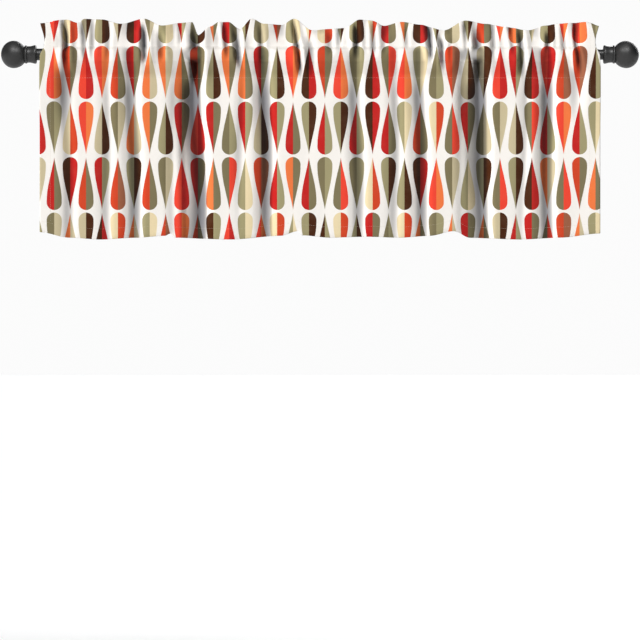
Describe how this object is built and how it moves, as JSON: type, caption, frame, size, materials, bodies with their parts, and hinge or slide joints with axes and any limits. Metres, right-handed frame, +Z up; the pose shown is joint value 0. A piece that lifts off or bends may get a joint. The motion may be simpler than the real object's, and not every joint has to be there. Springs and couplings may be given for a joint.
{
  "type": "rod-pocket window valance on a curtain rod",
  "caption": "Short printed rod-pocket valance with a standing header, hung on a black telescopic rod with ball finials in adjustable wall brackets.",
  "frame": {"origin": "on the wall plane, level with the rod's axis, midway between the two wall brackets", "axes": "+X to the right as seen from the room, along the rod; +Y into the wall; +Z up"},
  "size_m": [1.3776, 0.1434, 0.477],
  "materials": {
    "printed_cloth": "matt woven cotton blend printed with split drops in browns, reds, oranges and olives",
    "facing_cloth": "matt plain woven facing",
    "black_metal": "satin black powder coat",
    "black_resin": "satin black painted resin",
    "steel": "zinc-plated steel",
    "nylon": "matt moulded nylon"
  },
  "bodies": {
    "brackets": {"left_wall_plate": "black_metal", "left_arm_sleeve": "black_metal", "left_wall_screw_upper": "steel", "left_wall_screw_lower": "steel", "right_wall_plate": "black_metal", "right_arm_sleeve": "black_metal", "right_wall_screw_upper": "steel", "right_wall_screw_lower": "steel"},
    "left_arm": {"left_cradle_arm": "black_metal", "left_rod_cradle": "black_metal"},
    "right_arm": {"right_cradle_arm": "black_metal", "right_rod_cradle": "black_metal"},
    "left_lock": {"left_sleeve_lock_screw": "steel"},
    "right_lock": {"right_sleeve_lock_screw": "steel"},
    "left_set": {"left_cradle_set_screw": "steel"},
    "right_set": {"right_cradle_set_screw": "steel"},
    "rod": {"outer_tube": "black_metal", "outer_end_plug": "nylon"},
    "rod_extension": {"inner_tube": "black_metal", "inner_end_plug": "nylon", "inner_glide_cap": "nylon"},
    "left_collar": {"left_finial_collar": "black_metal"},
    "left_finial": {"left_finial_ball": "black_resin", "left_finial_stud": "steel"},
    "right_collar": {"right_finial_collar": "black_metal"},
    "right_finial": {"right_finial_ball": "black_resin", "right_finial_stud": "steel"},
    "valance": {"header_front": "printed_cloth", "header_back": "facing_cloth", "pocket_front": "printed_cloth", "pocket_back": "facing_cloth", "skirt": "printed_cloth", "bottom_hem": "printed_cloth", "side_hem_left": "printed_cloth"},
    "valance_right_edge": {"side_hem_right": "printed_cloth"}
  },
  "joints": [
    {"name": "left_projection", "type": "slide", "parent": "brackets", "child": "left_arm", "axis": [0, -1, 0], "range_m": [-0.012, 0.02]},
    {"name": "right_projection", "type": "slide", "parent": "brackets", "child": "right_arm", "axis": [0, -1, 0], "range_m": [-0.012, 0.02]},
    {"name": "left_lock_turn", "type": "hinge", "parent": "brackets", "child": "left_lock", "pos_m": [-0.592, -0.046, -0.0063], "axis": [0, 0, -1], "range_deg": [0, 720]},
    {"name": "right_lock_turn", "type": "hinge", "parent": "brackets", "child": "right_lock", "pos_m": [0.592, -0.046, -0.0063], "axis": [0, 0, -1], "range_deg": [0, 720]},
    {"name": "left_set_turn", "type": "hinge", "parent": "left_arm", "child": "left_set", "pos_m": [-0.592, -0.09, -0.013], "axis": [0, 0, -1], "range_deg": [0, 720]},
    {"name": "right_set_turn", "type": "hinge", "parent": "right_arm", "child": "right_set", "pos_m": [0.592, -0.09, -0.0117], "axis": [0, 0, -1], "range_deg": [0, 720]},
    {"name": "rod_lift", "type": "slide", "parent": "left_arm", "child": "rod", "axis": [0, 0, 1], "range_m": [0, 0.025]},
    {"name": "rod_extend", "type": "slide", "parent": "rod", "child": "rod_extension", "axis": [1, 0, 0], "range_m": [0, 0.9]},
    {"name": "left_finial_out", "type": "slide", "parent": "rod", "child": "left_collar", "axis": [-1, 0, 0], "range_m": [0, 0.01]},
    {"name": "left_finial_turn", "type": "hinge", "parent": "left_collar", "child": "left_finial", "pos_m": [-0.6618, -0.09, 0], "axis": [-1, 0, 0], "range_deg": [0, 2881]},
    {"name": "right_finial_out", "type": "slide", "parent": "rod_extension", "child": "right_collar", "axis": [1, 0, 0], "range_m": [0, 0.01]},
    {"name": "right_finial_turn", "type": "hinge", "parent": "right_collar", "child": "right_finial", "pos_m": [0.6618, -0.09, 0], "axis": [1, 0, 0], "range_deg": [0, 2881]},
    {"name": "valance_swing", "type": "hinge", "parent": "rod", "child": "valance", "pos_m": [0, -0.09, 0], "axis": [1, 0, 0], "range_deg": [-45, 6]},
    {"name": "valance_gather", "type": "slide", "parent": "valance", "child": "valance_right_edge", "axis": [-1, 0, 0], "range_m": [0, 0.45], "deforming": ["header_front", "header_back", "pocket_front", "pocket_back", "skirt", "bottom_hem"]}
  ],
  "couplings": [
    {"joint": "right_projection", "follows": "left_projection", "ratio": 1},
    {"joint": "left_finial_turn", "follows": "left_finial_out", "rad_per_m": 5026.5},
    {"joint": "right_finial_turn", "follows": "right_finial_out", "rad_per_m": 5026.5}
  ]
}
